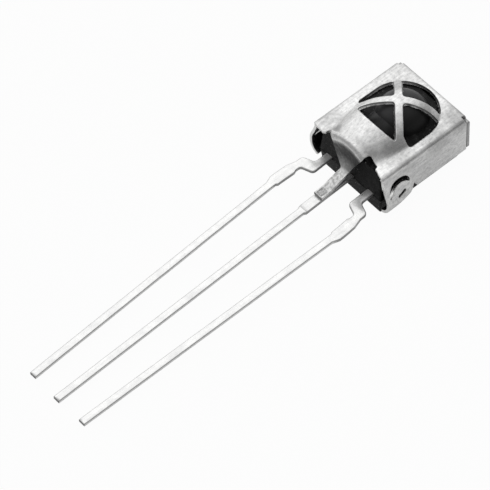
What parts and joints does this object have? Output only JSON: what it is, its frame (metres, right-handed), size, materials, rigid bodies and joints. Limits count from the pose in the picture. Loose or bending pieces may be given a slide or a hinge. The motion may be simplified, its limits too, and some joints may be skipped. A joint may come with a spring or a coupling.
{
  "type": "infrared receiver module",
  "caption": "Infrared receiver in a folded metal shield with a crossed window over a domed lens, an end strap joined to its centre lead, side ears and long straight leads.",
  "frame": {"origin": "middle of the module's length and width, on the plane that its moulded back rests on", "axes": "+X across the leads, +Y from the lead tips to the case, +Z from the moulded back to the lens side"},
  "size_m": [0.0082, 0.0342, 0.0061],
  "materials": {
    "tinplate": "bright tin plating, lightly brushed",
    "tinned_lead": "bright tin dip",
    "black_epoxy": "smooth moulded, dark and infrared-clear",
    "silicon": "polished die",
    "silver_paste": "cured conductive paste",
    "gold_wire": "bright drawn wire"
  },
  "bodies": {
    "root": {"shield_case": "tinplate", "epoxy_body": "black_epoxy", "lead_output": "tinned_lead", "lead_ground": "tinned_lead", "lead_supply": "tinned_lead", "photodiode_chip": "silicon", "photodiode_attach": "silver_paste", "receiver_chip": "silicon", "receiver_attach": "silver_paste", "wire_photodiode": "gold_wire", "wire_output": "gold_wire", "wire_supply": "gold_wire", "wire_ground": "gold_wire"}
  },
  "joints": []
}
